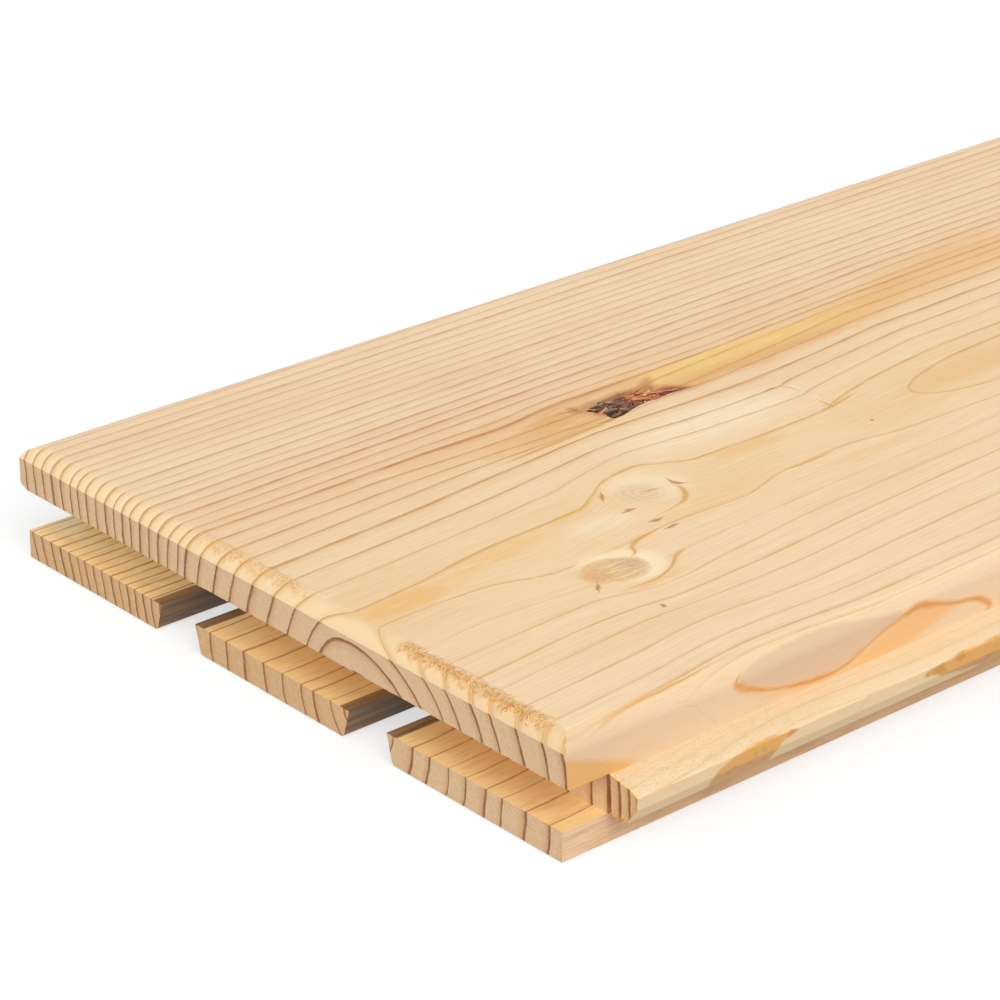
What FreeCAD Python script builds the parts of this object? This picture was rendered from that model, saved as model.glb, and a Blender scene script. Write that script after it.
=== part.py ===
import FreeCAD, Part
import math
import os

# A softwood floorboard, planed and machined from one plank, in millimetres.
# X runs along the board, from the grooved end to the tongued end. The tongue of the long edge
# points to -Y and the groove of the long edge opens to +Y. Z = 0 is the underside.
# The origin is under the middle of the board, tongues included.

# The plank
face_length = 1200.0
face_width = 140.0
thickness = 20.0

# The two lips that hold a neighbour's tongue between them
upper_lip = 8.0
lower_lip = 5.1
tongue_play_above = 0.2
tongue_play_below = 0.1

# Soft arris round the top face
arris_run = 3.5
arris_drop = 2.3

# Joint along the two long edges
edge_tongue = 6.0
edge_tongue_end_play = 0.8
edge_shoulder_lean = 0.6
edge_lower_shoulder_setback = 0.5
edge_lower_lip_reach = -2.7
edge_entry_run = 2.4
edge_entry_rise = 1.0

# Joint across the two ends
end_tongue = 7.6
end_tongue_end_play = 0.75
end_shoulder_lean = 0.0
end_lower_shoulder_setback = 1.0
end_lower_lip_reach = 0.5
end_entry_run = 1.0
end_entry_rise = 0.2

# Nose of every tongue: a slightly falling top, a small upper bevel and a long lower one
tongue_top_fall = 0.8
tongue_nose_run = 1.5
tongue_nose_drop = 0.8
tongue_heel_run = 2.1
tongue_heel_rise = 3.0

# Relief grooves milled along the underside, so that the board stays flat
relief_count = 2
relief_pitch = 49.0
relief_width = 12.0
relief_depth = 6.0
relief_flank_angle = 15.5
relief_mouth_radius = 0.8

groove_floor = lower_lip
groove_roof = thickness - upper_lip
tongue_top = groove_roof - tongue_play_above
tongue_bottom = groove_floor + tongue_play_below

# A lower lip that reaches past the upper one adds to the board's full length or width
total_length = max(end_lower_lip_reach, 0) + face_length + end_tongue
total_width = max(edge_lower_lip_reach, 0) + face_width + edge_tongue
grooved_end = total_length / 2 - end_tongue - face_length
grooved_edge = edge_tongue + face_width - total_width / 2
tongued_edge_shoulder = grooved_edge - face_width


def matched_outline(place, face, tongue, end_play, lean, shoulder_setback, lip_reach,
                    entry_run, entry_rise):
    """Closed outline with a groove at one side and its tongue at the other.

    The upper lip's edge beside the groove is at 0 and the upper shoulder beside the tongue is at
    face, so that boards laid against each other repeat every face. place turns a distance from
    the groove and a height into a point in space.
    """
    groove_depth = tongue + end_play
    arris_radius = (arris_run ** 2 + arris_drop ** 2) / (2 * arris_drop)
    arris_turn = math.asin(arris_run / arris_radius)
    arris_middle_run = arris_run - arris_radius * math.sin(arris_turn / 2)
    arris_middle_drop = arris_radius * (1 - math.cos(arris_turn / 2))

    arris_foot = thickness - arris_drop
    lower_shoulder = face - shoulder_setback
    tip = face + tongue

    groove_side = [
        (-lip_reach, 0),
        (-lip_reach, groove_floor),
        (groove_depth, groove_floor),
        (groove_depth, groove_roof),
        (entry_run, groove_roof),
        (0, groove_roof + entry_rise),
        (0, arris_foot),
    ]
    groove_arris = (arris_middle_run, thickness - arris_middle_drop)
    top_start = (arris_run, thickness)
    top_end = (face - lean - arris_run, thickness)
    tongue_arris = (face - lean - arris_middle_run, thickness - arris_middle_drop)
    tongue_side = [
        (face - lean, arris_foot),
        (face, tongue_top),
        (tip - tongue_nose_run, tongue_top - tongue_top_fall),
        (tip, tongue_top - tongue_top_fall - tongue_nose_drop),
        (tip, tongue_bottom + tongue_heel_rise),
        (tip - tongue_heel_run, tongue_bottom),
        (lower_shoulder, tongue_bottom),
        (lower_shoulder, 0),
    ]

    def straight(start, end):
        return Part.makeLine(place(*start), place(*end))

    def rounded(start, middle, end):
        return Part.Arc(place(*start), place(*middle), place(*end)).toShape()

    edges = [straight(*pair) for pair in zip(groove_side, groove_side[1:])]
    edges.append(rounded(groove_side[-1], groove_arris, top_start))
    edges.append(straight(top_start, top_end))
    edges.append(rounded(top_end, tongue_arris, tongue_side[0]))
    edges += [straight(*pair) for pair in zip(tongue_side, tongue_side[1:])]
    edges.append(straight(tongue_side[-1], groove_side[0]))
    return Part.Wire(edges)


def in_cross_section(from_groove, height):
    return FreeCAD.Vector(-total_length / 2, grooved_edge - from_groove, height)


def in_long_section(from_groove, height):
    return FreeCAD.Vector(grooved_end + from_groove, -total_width / 2, height)


def edge_joint_profile():
    """The board's cross-section, drawn out along its whole length."""
    outline = matched_outline(
        in_cross_section, face_width, edge_tongue, edge_tongue_end_play, edge_shoulder_lean,
        edge_lower_shoulder_setback, edge_lower_lip_reach, edge_entry_run, edge_entry_rise)
    return Part.Face(outline).extrude(FreeCAD.Vector(total_length, 0, 0))


def end_joint_profile():
    """The board's long section, drawn out across its whole width."""
    outline = matched_outline(
        in_long_section, face_length, end_tongue, end_tongue_end_play, end_shoulder_lean,
        end_lower_shoulder_setback, end_lower_lip_reach, end_entry_run, end_entry_rise)
    return Part.Face(outline).extrude(FreeCAD.Vector(0, total_width, 0))


def relief_cutter(middle):
    """A trapezoid groove along the underside, wider at its mouth, with eased mouth edges."""
    flank = math.radians(relief_flank_angle)
    half_mouth = relief_width / 2
    half_floor = half_mouth - relief_depth * math.tan(flank)
    below = relief_mouth_radius
    reach = relief_mouth_radius * math.tan((math.pi / 2 - flank) / 2)
    flank_foot_out = half_mouth - reach * math.sin(flank)
    flank_foot_up = reach * math.cos(flank)
    ease_out = half_mouth + reach
    arc_turn = (math.pi / 2 - flank) / 2
    arc_middle_out = ease_out - relief_mouth_radius * math.sin(arc_turn)
    arc_middle_up = relief_mouth_radius * (1 - math.cos(arc_turn))

    def at(out, up):
        return FreeCAD.Vector(-total_length / 2, middle + out, up)

    def eased(side):
        return Part.Arc(
            at(side * flank_foot_out, flank_foot_up),
            at(side * arc_middle_out, arc_middle_up),
            at(side * ease_out, 0)).toShape()

    corners = [at(-ease_out, 0), at(-ease_out, -below), at(ease_out, -below), at(ease_out, 0)]
    edges = [Part.makeLine(*pair) for pair in zip(corners, corners[1:])]
    edges += [
        eased(1),
        Part.makeLine(at(flank_foot_out, flank_foot_up), at(half_floor, relief_depth)),
        Part.makeLine(at(half_floor, relief_depth), at(-half_floor, relief_depth)),
        Part.makeLine(at(-half_floor, relief_depth), at(-flank_foot_out, flank_foot_up)),
        eased(-1),
    ]
    outline = Part.Wire(Part.__sortEdges__(edges))
    return Part.Face(outline).extrude(FreeCAD.Vector(total_length, 0, 0))


def floorboard():
    """Both joints milled on one plank, then the relief grooves."""
    board = edge_joint_profile().common(end_joint_profile())
    face_middle = tongued_edge_shoulder + face_width / 2
    first = face_middle - relief_pitch * (relief_count - 1) / 2
    for index in range(relief_count):
        board = board.cut(relief_cutter(first + index * relief_pitch))
    return board.Solids[0]


os.makedirs("parts", exist_ok=True)
floorboard().exportStep("parts/floorboard.step")
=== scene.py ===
import math

import bmesh
import bpy
import numpy as np
from mathutils import Matrix, Vector, noise


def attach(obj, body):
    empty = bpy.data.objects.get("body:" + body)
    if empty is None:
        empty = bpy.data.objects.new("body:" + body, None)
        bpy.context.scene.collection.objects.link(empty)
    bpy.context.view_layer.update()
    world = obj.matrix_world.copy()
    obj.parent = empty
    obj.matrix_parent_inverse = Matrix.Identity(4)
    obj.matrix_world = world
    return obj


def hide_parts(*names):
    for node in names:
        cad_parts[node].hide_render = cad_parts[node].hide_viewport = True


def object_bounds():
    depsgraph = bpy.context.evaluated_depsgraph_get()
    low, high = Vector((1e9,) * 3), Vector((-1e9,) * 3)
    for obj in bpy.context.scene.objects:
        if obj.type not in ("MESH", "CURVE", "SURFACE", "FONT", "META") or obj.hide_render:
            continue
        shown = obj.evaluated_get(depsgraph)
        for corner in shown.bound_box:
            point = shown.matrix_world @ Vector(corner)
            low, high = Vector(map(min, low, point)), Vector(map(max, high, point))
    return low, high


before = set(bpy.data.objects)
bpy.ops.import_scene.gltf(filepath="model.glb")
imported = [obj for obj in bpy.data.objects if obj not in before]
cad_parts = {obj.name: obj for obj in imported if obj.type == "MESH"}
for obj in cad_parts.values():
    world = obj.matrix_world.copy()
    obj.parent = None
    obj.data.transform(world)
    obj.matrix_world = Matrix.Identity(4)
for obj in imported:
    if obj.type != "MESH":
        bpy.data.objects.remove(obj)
cad_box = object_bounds()

# The floorboard: one length of resinous softwood, sawn close beside the pith of a knotty young
# stem, planed bare and milled with tongues, grooves and relief grooves. Everything below in
# millimetres is measured from the near end (x), from the tongued edge (y) and from the underside.
MM = 0.001
near_end_x = -604.05
tongued_edge_y = -66.5
board_thickness = 20.0

# Radii of the growth rings about the pith, on the side of the long groove and of the long tongue.
# The tree grew slowly and evenly on the first side after its eleventh year.
groove_side_rings = [
    0, 4.4, 7.6, 12.6, 15.7, 20.5, 25.4, 30.6, 35.2, 39.5, 43.6, 47.0, 48.7, 51.4, 53.9, 56.3,
    58.9, 61.7, 64.4, 67.0, 70.0, 73.2, 76.2, 79.0, 81.4, 84.0, 86.4, 88.7, 91.0, 93.3, 95.8]
tongue_side_rings = [
    0, 4.4, 7.6, 12.6, 16.3, 20.9, 24.7, 29.3, 32.9, 38.2, 43.4, 47.5, 49.6, 51.6, 53.8, 56.0,
    58.2, 60.4]

# The pith at the near end, how its rings lean over it, and how far it rises along the board
pith_y = 46.1
pith_lean = 3.4
pith_z = 4.95
ring_flatness = 1.13
pith_rise = [
    (0, 0), (25, 0.1), (50, 0.9), (85, 1.2), (104, 0.9), (118, 1.2), (130, 2.4), (140, 3.7),
    (150, 4.6), (170, 5.6), (220, 6.6), (330, 5.2), (470, 1.8), (640, 0.4), (800, 2.6),
    (930, 5.4), (1080, 3.2), (1208, 0.6)]

# Courses of single rings over the walking face: side, ring, and where the line runs. They bulge
# round the pale knot and the reddish one, part round the bark pocket, and jog once behind them.
ring_courses = [
    ("tongue", 11, [(4, 1.2), (25, 3.2), (44, 5.1), (70, 4.2), (90, 4.6), (130, 6)]),
    ("tongue", 9, [(4, 11.8), (25, 13.2), (44, 15.1), (65, 14.1), (90, 15.3), (130, 17)]),
    ("tongue", 7, [(4, 23.0), (34, 25.0), (48, 24.0), (65, 24.4), (90, 26.3), (130, 28.5)]),
    ("tongue", 6, [(4, 29.5), (34, 30.6), (48, 27.9), (65, 29.9), (90, 32), (130, 33.4)]),
    ("tongue", 5, [(4, 35.6), (18, 36.5), (36, 35.4), (47, 33.2), (58, 35.4), (90, 37), (140, 38.6)]),
    ("tongue", 4, [(4, 45.9), (15, 46.2), (25, 45.4), (37, 41.9), (53, 42.8), (66, 43.8), (80, 43.3),
                   (92, 46.2), (108, 46.9), (121, 45), (145, 44.3)]),
    ("groove", 4, [(4, 52.8), (20, 54.5), (34, 57), (55, 57.9), (61, 60.6), (67, 63.9), (74, 64.7),
                   (79, 62.4), (85, 60), (100, 59.7), (116, 60.0), (120, 61.6), (132, 64.6), (152, 67.3)]),
    ("groove", 5, [(4, 61.9), (35, 63.7), (56, 65.6), (68, 68.2), (77, 69.4), (95, 68.2), (117, 67.4),
                   (121, 68.4), (152, 72.7)]),
    ("groove", 6, [(4, 68), (45, 70.6), (62, 72.5), (78, 74.3), (104, 72.7), (117, 73.0), (121, 73.9),
                   (152, 77.1)]),
    ("groove", 7, [(4, 73.7), (35, 75.5), (60, 77.7), (80, 79), (112, 78.4), (152, 81.5)]),
    ("groove", 8, [(4, 78.6), (35, 80.3), (60, 81.4), (82, 81.2), (96, 82.4), (120, 83.5), (152, 86.1)]),
    ("groove", 9, [(4, 83), (45, 84.3), (60, 83.8), (80, 83.0), (104, 84.4), (152, 89.6)]),
    ("groove", 10, [(4, 87.6), (35, 87.9), (60, 86.9), (80, 87.4), (100, 89.4), (152, 92.9)]),
    ("groove", 11, [(4, 91.5), (50, 92.0), (66, 91.6), (84, 93.2), (110, 93.2), (160, 95.4)]),
    ("groove", 13, [(4, 96.5), (70, 97.7), (95, 98.3), (110, 98.1), (180, 101)]),
    ("groove", 16, [(4, 105), (60, 105.6), (100, 106.6), (180, 108.6)]),
    ("groove", 24, [(4, 124.9), (60, 125.4), (180, 127)]),
    ("groove", 29, [(4, 138.4), (180, 140.0)]),
]
# Beyond the last point of a course the rings keep together and wander slowly
far_wander = [(150, 0), (330, 2.2), (520, -1.6), (700, 1.4), (900, 3.6), (1060, 0.6), (1208, -1.2)]


def smoothstep(low, high, value):
    step = np.clip((value - low) / (high - low), 0, 1)
    return step * step * (3 - 2 * step)


def flowing(stations, points):
    """A smooth line through (x, y) points that never swings past them."""
    px, py = np.array(points, float).T
    slope = np.diff(py) / np.diff(px)
    tangent = np.zeros(len(px))
    same_way = slope[:-1] * slope[1:] > 0
    tangent[1:-1][same_way] = (2 * slope[:-1] * slope[1:] / (slope[:-1] + slope[1:] + 1e-12))[same_way]
    tangent[0] = slope[0]
    tangent[-1] = slope[-1]
    x = np.clip(stations, px[0], px[-1])
    i = np.clip(np.searchsorted(px, x, side="right") - 1, 0, len(px) - 2)
    run = px[i + 1] - px[i]
    t = (x - px[i]) / run
    return ((1 + 2 * t) * (1 - t) ** 2 * py[i] + t * (1 - t) ** 2 * run * tangent[i]
            + t * t * (3 - 2 * t) * py[i + 1] + t * t * (t - 1) * run * tangent[i + 1])


def ring_radius(y, z):
    """Distance from the pith to the ring that passes through (y, z) at the near end."""
    centre = pith_y + pith_lean * (np.clip(z - 5, 0, 15) / 15) ** 2 * np.exp(-((y - pith_y) / 24) ** 2)
    level = pith_z + 0.7 * smoothstep(-10, 10, y - centre) + 17.6 * smoothstep(81, 126, y)
    return np.sqrt((y - centre) ** 2 + ring_flatness * (z - level) ** 2)


def near_pith(y):
    return 1 - smoothstep(8, 22, np.abs(y - 49.5))


def course_tables(stations):
    """For each station, where the courses run and how far each lies from its near-end place."""
    rise = flowing(stations, pith_rise)
    wander = flowing(stations, far_wander)
    places, shifts = [], []
    for side, ring, points in ring_courses:
        place = flowing(stations, points) + np.where(
            stations > points[-1][0], wander - np.interp(points[-1][0], stations, wander), 0)
        if side == "groove":
            radius = groove_side_rings[ring]
            across = np.linspace(49.5, 150, 1200)
        else:
            radius = tongue_side_rings[ring]
            across = np.linspace(49.5, -20, 1200)
        start = np.array([
            np.interp(radius, ring_radius(across, board_thickness - up * near_pith(across)), across)
            for up in rise])
        places.append(place)
        shifts.append(place - start)
    return np.array(places), np.array(shifts), rise


# The mesh is cut fine where the photograph shows the near end's figure, and coarser beyond it
board = bpy.data.objects.new("floorboard_wood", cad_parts["floorboard"].data.copy())
bpy.context.scene.collection.objects.link(board)
normals_kept = board.data.attributes.get("custom_normal")
if normals_kept:
    board.data.attributes.remove(normals_kept)
shape = bmesh.new()
shape.from_mesh(board.data)
bmesh.ops.remove_doubles(shape, verts=shape.verts, dist=1e-6)
bmesh.ops.dissolve_limit(shape, angle_limit=math.radians(0.4), verts=shape.verts, edges=shape.edges)


def cut(axis, places, low=None, high=None):
    """Cut square across one axis at each place, through all faces or those between two corners."""
    offset = Vector((near_end_x, tongued_edge_y, 0))
    around = shape.verts[:] + shape.edges[:] + shape.faces[:]
    if low:
        within = [(f, f.calc_center_median() / MM - offset) for f in shape.faces]
        around = set(f for f, middle in within if all(low[k] < middle[k] < high[k] for k in range(3)))
        around = list(around | set(e for f in around for e in f.edges) | set(v for f in around for v in f.verts))
    for place in places:
        at, direction = Vector((0, 0, 0)), Vector((0, 0, 0))
        at[axis] = (place + offset[axis]) * MM
        direction[axis] = 1
        around = bmesh.ops.bisect_plane(
            shape, geom=around, dist=1e-7, plane_co=at, plane_no=direction)["geom"]


cut(0, list(np.arange(1.5, 168, 2.5)) + list(np.arange(172, 260, 6.0)) + list(np.arange(266, 1208, 18.0)))
cut(1, list(np.arange(-4.0, 140, 2.5)))
cut(1, np.arange(2.25, 139, 2.5), (-1, -1, 17), (262, 141, 20.1))
# Finer still: the tongued edge's figure, the two knots, the jog behind them and the bark pocket
edge_low, edge_high = (-1, -7, 4.9), (118, 4.2, 20.1)
cut(0, np.arange(0.9, 118, 0.8), edge_low, edge_high)
cut(2, np.arange(5.8, 17.7, 0.6), edge_low, edge_high)
for x_range, y_range, step in (((36, 82), (30, 66), 0.6), ((112, 128), (58, 76), 0.7), ((77, 110), (79, 95), 0.36)):
    low, high = (x_range[0], y_range[0], 19.9), (x_range[1], y_range[1], 20.1)
    cut(0, np.arange(*x_range, step) + 0.03, low, high)
    cut(1, np.arange(*y_range, step) + 0.03, low, high)

# The unwrapping for baked textures. Faces that look the same way and join make one chart. Charts
# of the long sides lie in rows along the map, with the figured near end drawn out to nearly half
# of its length, and the cut ends lie free between them at a larger scale.
near_part, near_share = 260.0, 0.45
map_size, margin, end_scale = 1024.0, 5.0, 4.0
shape.normal_update()
shape.faces.index_update()
way = [max(range(3), key=lambda k: abs(f.normal[k])) for f in shape.faces]
way = [(k, f.normal[k] > 0) for k, f in zip(way, shape.faces)]
chart_of = {}
charts = []
for seed in shape.faces:
    if seed.index in chart_of:
        continue
    chart_of[seed.index] = len(charts)
    members, waiting = [], [seed]
    while waiting:
        f = waiting.pop()
        members.append(f)
        for edge in f.edges:
            for other in edge.link_faces:
                if other.index not in chart_of and way[other.index] == way[seed.index]:
                    chart_of[other.index] = len(charts)
                    waiting.append(other)
    charts.append((way[seed.index], members))


def on_map(corner, axis, positive):
    """Where a corner lies on its own chart: across the map in pixels, up it in millimetres."""
    x, y, z = (corner.co / MM)[:]
    if axis == 0:
        return (y if positive else -y) * end_scale, z * end_scale
    x -= near_end_x
    share = x / near_part * near_share
    if x > near_part:
        share = near_share + (x - near_part) / (frame_length - near_part) * (1 - near_share)
    up = y if axis == 2 else z
    return margin + share * (map_size - 2 * margin), up if positive == (axis == 2) else -up


frame_length = (cad_box[1][0] - cad_box[0][0]) / MM
outlines = []
for (axis, positive), members in charts:
    spots = np.array([on_map(v, axis, positive) for f in members for v in f.verts])
    outlines.append((spots.min(0), spots.max(0)))


def laid_out(scale):
    """Rows of charts at a scale in pixels per millimetre, or nothing if they don't fit."""
    rows, seats = [], {}
    tall = [(high[1] - low[1]) * (1 if charts[k][0][0] == 0 else scale) for k, (low, high) in enumerate(outlines)]
    for k in sorted(range(len(charts)), key=lambda k: -tall[k]):
        low, high = outlines[k]
        width = high[0] - low[0]
        for row in rows + [None]:
            if row is None:
                row = {"foot": rows[-1]["foot"] + rows[-1]["tall"] + margin if rows else margin, "tall": tall[k], "taken": []}
                rows.append(row)
            starts = [low[0]] if charts[k][0][0] else [margin] + [end + margin for _, end in row["taken"]]
            free = [s for s in starts if s + width <= map_size - margin + 0.01 and all(
                s >= b + margin - 0.01 or s + width <= a - margin + 0.01 for a, b in row["taken"])]
            if free:
                row["taken"].append((free[0], free[0] + width))
                seats[k] = (free[0] - low[0], row["foot"], low[1])
                break
    return seats if rows[-1]["foot"] + rows[-1]["tall"] + margin <= map_size else None


scale = 4.0
while laid_out(scale) is None:
    scale -= 0.02
seats = laid_out(scale)
unwrapping = shape.loops.layers.uv.new("OFBake")
for k, ((axis, positive), members) in enumerate(charts):
    aside, foot, lowest = seats[k]
    for f in members:
        for loop in f.loops:
            u, v = on_map(loop.vert, axis, positive)
            v = foot + (v - lowest) * (scale if axis else 1.0)
            loop[unwrapping].uv = ((u + aside) / map_size, v / map_size)
shape.to_mesh(board.data)
shape.free()
board.data.update()

place = np.zeros(len(board.data.vertices) * 3)
board.data.vertices.foreach_get("co", place)
place = place.reshape(-1, 3) / MM - (near_end_x, tongued_edge_y, 0)
stations = np.unique(place[:, 0].round(3))
course_places, course_shifts, rise = course_tables(stations)
shift = np.zeros((len(place), 3))
for k, station in enumerate(stations):
    here = np.abs(place[:, 0] - station) < 0.001
    order = np.argsort(course_places[:, k])
    shift[here, 1] = np.interp(place[here, 1], course_places[order, k], course_shifts[order, k])
    shift[here, 2] = rise[k]
growth_shift = board.data.attributes.new("growth_shift", "FLOAT_VECTOR", "POINT")
growth_shift.data.foreach_set("vector", shift.astype(np.float32).ravel())


def outline_distance(points, outline):
    """Distance of each point from a closed outline, in millimetres, negative inside it."""
    corners = np.array(outline, float)
    inside = np.zeros(len(points), bool)
    nearest = np.full(len(points), 1e9)
    for (ax, ay), (bx, by) in zip(corners, np.roll(corners, -1, 0)):
        run = np.array([bx - ax, by - ay])
        t = np.clip(((points - (ax, ay)) @ run) / (run @ run), 0, 1)
        nearest = np.minimum(nearest, np.hypot(*(points - (ax, ay) - t[:, None] * run).T))
        crosses = (ay > points[:, 1]) != (by > points[:, 1])
        with np.errstate(divide="ignore", invalid="ignore"):
            inside ^= crosses & (points[:, 0] < (bx - ax) * (points[:, 1] - ay) / (by - ay) + ax)
    return np.where(inside, -nearest, nearest)


def store(name, where, values, elsewhere=9.0):
    """Keep a number for each vertex, worked out only where it's wanted."""
    kept = np.full(len(place), elsewhere)
    kept[where] = np.clip(values, -9, 9)
    layer = board.data.attributes.new(name, "FLOAT", "POINT")
    layer.data.foreach_set("value", kept.astype(np.float32))
    return kept


def store_strokes(name, where, points, lines):
    """Keep for each vertex how far it lies to the left of the nearest stroke, and how wide that is.

    A stroke is a line of (x, y, half width). The distance has a sign so that it passes evenly
    through nought on the stroke itself, also where the mesh is coarser than the stroke.
    """
    nearest = np.full(len(points), 9.0)
    signed = np.full(len(points), 9.0)
    half_width = np.zeros(len(points))
    for line in lines:
        corners = np.array(line, float)
        # two rounds of corner cutting turn the drawn points into a smooth stroke
        for _ in range(2):
            middle = np.vstack([corners[:-1] * 0.75 + corners[1:] * 0.25, corners[:-1] * 0.25 + corners[1:] * 0.75])
            order = np.argsort(np.tile(np.arange(len(corners) - 1), 2) + np.repeat([0, 0.5], len(corners) - 1))
            corners = np.vstack([corners[:1], middle[order], corners[-1:]])
        for (ax, ay, aw), (bx, by, bw) in zip(corners, corners[1:]):
            run = np.array([bx - ax, by - ay])
            aside = points - (ax, ay)
            t = np.clip((aside @ run) / (run @ run + 1e-9), 0, 1)
            away = np.hypot(*(aside - t[:, None] * run).T)
            left = np.where(run[0] * aside[:, 1] - run[1] * aside[:, 0] < 0, -1, 1)
            closer = away < nearest
            nearest[closer] = away[closer]
            signed[closer] = (away * left)[closer]
            half_width[closer] = (aw + (bw - aw) * t)[closer]
    half_width[nearest > half_width + 1.0] = 0
    kept = np.zeros((len(place), 3))
    kept[:, 0] = 9
    kept[where, 0] = signed
    kept[where, 1] = half_width
    layer = board.data.attributes.new(name, "FLOAT_VECTOR", "POINT")
    layer.data.foreach_set("vector", kept.astype(np.float32).ravel())


on_face = (place[:, 2] > 19.9) & (place[:, 0] < 130)
face_points = place[on_face][:, :2]
# The bark pocket: bark that the tree grew round, laid open by the planer and partly torn out
pocket_outline = [
    (82.4, 87.9), (82.4, 89.6), (84.1, 88.3), (87.5, 88.8), (89.8, 88.6), (92.0, 88.8), (93.6, 89.2),
    (95.8, 88.3), (97.7, 88.2), (99.7, 88.4), (100.6, 87.4), (99.8, 86.2), (102.2, 85.8), (103.6, 84.6),
    (106.2, 82.6), (104.2, 82.7), (100.4, 82.9), (97.6, 82.7), (94.9, 82.9), (92.9, 82.6), (90.3, 82.0),
    (88.2, 81.3), (85.6, 81.2), (85.3, 82.4), (84.6, 84.0), (84.4, 85.8), (83.6, 86.9)]
from_pocket = store("from_pocket", on_face, outline_distance(face_points, pocket_outline))
# What lies in it, in patches: x, y, half length, half width, turn, colour, strength
bark_patches = [
    (96, 85.5, 30, 20, 0, (176, 116, 70), 1.0),
    (85.2, 87.8, 3.4, 1.2, 8, (190, 138, 86), 0.9),
    (88.4, 86.1, 3.0, 1.6, -8, (110, 90, 68), 1.0),
    (93.0, 88.2, 4.2, 0.9, 0, (150, 98, 54), 0.9),
    (92.4, 85.2, 2.4, 1.5, -20, (122, 78, 66), 1.0),
    # painted shade: near-black under the pocket's steep near lip, laid over the bark's own dark brown
    (88.6, 82.7, 3.4, 1.2, 8, (44, 27, 22), 1.0),
    (92.6, 83.3, 1.6, 0.9, 5, (64, 38, 26), 0.9),
    (95.2, 86.4, 2.3, 1.4, -15, (222, 146, 90), 0.95),
    (95.4, 86.2, 1.0, 0.6, -15, (240, 176, 96), 0.7),
    (98.6, 84.6, 2.8, 1.0, -8, (206, 132, 94), 0.9),
    (97.6, 87.5, 2.6, 0.9, 0, (184, 124, 68), 0.8),
    (96.3, 83.3, 3.4, 0.6, 2, (112, 68, 34), 0.95),
    (102.6, 84.2, 2.6, 1.2, -20, (138, 72, 54), 1.0),
    (85.6, 84.3, 0.9, 2.0, 12, (226, 154, 94), 1.0),
    (86.5, 83.1, 0.9, 0.8, 0, (234, 160, 78), 0.9)]
bark_tint = np.zeros((len(place), 4))
bark_tint[:, 3] = 1
in_pocket = np.nonzero(from_pocket < 3)[0]
for x, y, half_length, half_width, turn, tint, amount in bark_patches:
    aside = place[in_pocket][:, :2] - (x, y)
    turn = math.radians(turn)
    lengthwise = (aside @ (math.cos(turn), math.sin(turn))) / half_length
    crosswise = (aside @ (-math.sin(turn), math.cos(turn))) / half_width
    share = (amount * (1 - smoothstep(0.55, 1.25, np.hypot(lengthwise, crosswise))))[:, None]
    bark_tint[in_pocket, :3] += share * (np.array(tint) / 255 - bark_tint[in_pocket, :3])
tint_layer = board.data.attributes.new("bark_tint", "FLOAT_COLOR", "POINT")
tint_layer.data.foreach_set("color", np.where(
    bark_tint <= 0.04045, bark_tint / 12.92, ((bark_tint + 0.055) / 1.055) ** 2.4).astype(np.float32).ravel())


def pocket_depth(x, y, inward):
    """Depth of the torn floor: steepest under the near lip, with ridges along the grain."""
    sunk = smoothstep(0.05, 1.2, inward)
    ridges = noise.noise(Vector((x * 0.45, y * 1.5, 3.0))) + 0.6 * noise.noise(Vector((x * 1.3, y * 3.1, 8.0)))
    return sunk * max(1.5 - 0.95 * smoothstep(81.8, 85.6, y) + 0.5 * ridges, 0.12)


for k in np.nonzero(from_pocket < -0.05)[0]:
    board.data.vertices[k].co.z -= pocket_depth(*place[k][:2], -from_pocket[k]) * MM

# Short strokes on the walking face: x, y and half width. Golden ones are resin-rich wood round
# the knots and at the jog, dark ones are bark marks, pale ones are checks across a knot with a painted highlight.
golden_strokes = [
    [(66.0, 47.9, 0.05), (70.1, 48.4, 0.2), (72.3, 49.3, 0.4), (73.9, 51.5, 0.5), (74.5, 53.0, 0.4), (74.4, 54.0, 0.1)],
    [(50.6, 39.2, 0.1), (51.9, 39.9, 0.3), (52.4, 41.6, 0.35), (54.0, 42.6, 0.45), (56.8, 43.2, 0.35), (60, 43.7, 0.1)],
    [(40.4, 30.9, 0.05), (47.6, 30.3, 0.2), (52.0, 31.8, 0.25), (54.2, 33.4, 0.3), (55.8, 34.7, 0.35), (58.4, 35.4, 0.1)],
    [(117.8, 72.6, 0.04), (118.6, 70.5, 0.12), (118.7, 69.2, 0.04)],
    [(118.4, 63.4, 0.04), (118.3, 62.4, 0.16), (118.6, 60.9, 0.1)],
    [(115.6, 60.2, 0.05), (118.0, 60.1, 0.35), (120.5, 60.7, 0.35), (125.4, 61.6, 0.05)],
    [(92.7, 46.5, 0.05), (96.4, 46.4, 0.25), (98.8, 46.5, 0.3), (104, 46.5, 0.05)],
    [(4.6, 0.5, 0.05), (8.4, 1.2, 0.18), (12, 2.0, 0.24), (17, 2.6, 0.28), (22, 2.7, 0.24), (26.5, 3.0, 0.2), (33, 3.8, 0.05)],
    [(58, 79.4, 0.1), (66, 79.9, 0.35), (74, 80.4, 0.45), (80, 80.8, 0.4), (85.6, 81.2, 0.2)]]
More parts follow.
